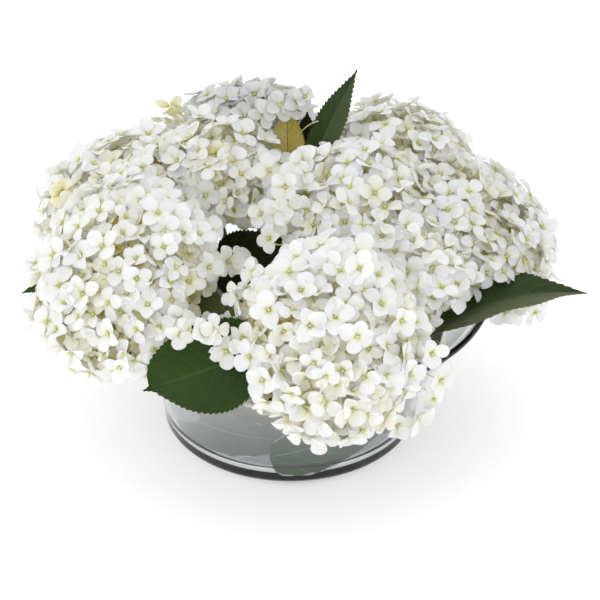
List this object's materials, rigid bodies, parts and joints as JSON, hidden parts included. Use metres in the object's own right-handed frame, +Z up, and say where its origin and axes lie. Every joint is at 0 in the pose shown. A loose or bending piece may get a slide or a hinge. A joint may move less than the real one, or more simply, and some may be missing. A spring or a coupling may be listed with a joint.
{
  "type": "floral table centerpiece",
  "caption": "Low arrangement of white hydrangea heads and serrated leaves on stems set in a flared clear glass bowl lined with leaves, to stand on a table.",
  "frame": {"origin": "centre of the bowl's foot, on the surface that it stands on", "axes": "+Z up along the bowl's axis, -Y towards the front of the arrangement, +X to the right as seen from the front"},
  "size_m": [0.4753, 0.4248, 0.3053],
  "materials": {
    "clear_glass": "clear, polished",
    "liner_green": "leaf seen through glass, satin",
    "clear_resin": "clear, still surface",
    "stem_green": "fresh green stem, satin",
    "leaf_green": "fresh leaf, veined, satin",
    "petal_white": "petal, matt"
  },
  "bodies": {
    "root": {"glass_bowl": "clear_glass", "liner_leaf_1": "liner_green", "liner_leaf_2": "liner_green", "liner_leaf_3": "liner_green", "liner_leaf_4": "liner_green", "liner_leaf_5": "liner_green", "liner_leaf_6": "liner_green", "liner_leaf_7": "liner_green", "liner_leaf_8": "liner_green", "resin_fill": "clear_resin", "front_stem": "stem_green", "left_front_stem": "stem_green", "centre_stem": "stem_green", "right_stem": "stem_green", "left_back_stem": "stem_green", "middle_stem": "stem_green", "right_front_stem": "stem_green", "right_back_stem": "stem_green", "back_stem": "stem_green", "front_left_leaf": "leaf_green", "left_gap_leaf": "leaf_green", "right_leaf": "leaf_green", "top_leaf": "leaf_green", "left_leaf": "leaf_green", "centre_leaf": "leaf_green", "yellow_leaf": "leaf_green", "shaded_leaf": "leaf_green", "back_left_leaf": "leaf_green", "back_right_leaf": "leaf_green", "front_head": "petal_white", "left_front_head": "petal_white", "centre_head": "petal_white", "right_head": "petal_white", "left_back_head": "petal_white", "middle_head": "petal_white", "right_front_head": "petal_white", "right_back_head": "petal_white", "back_head": "petal_white"}
  },
  "joints": []
}
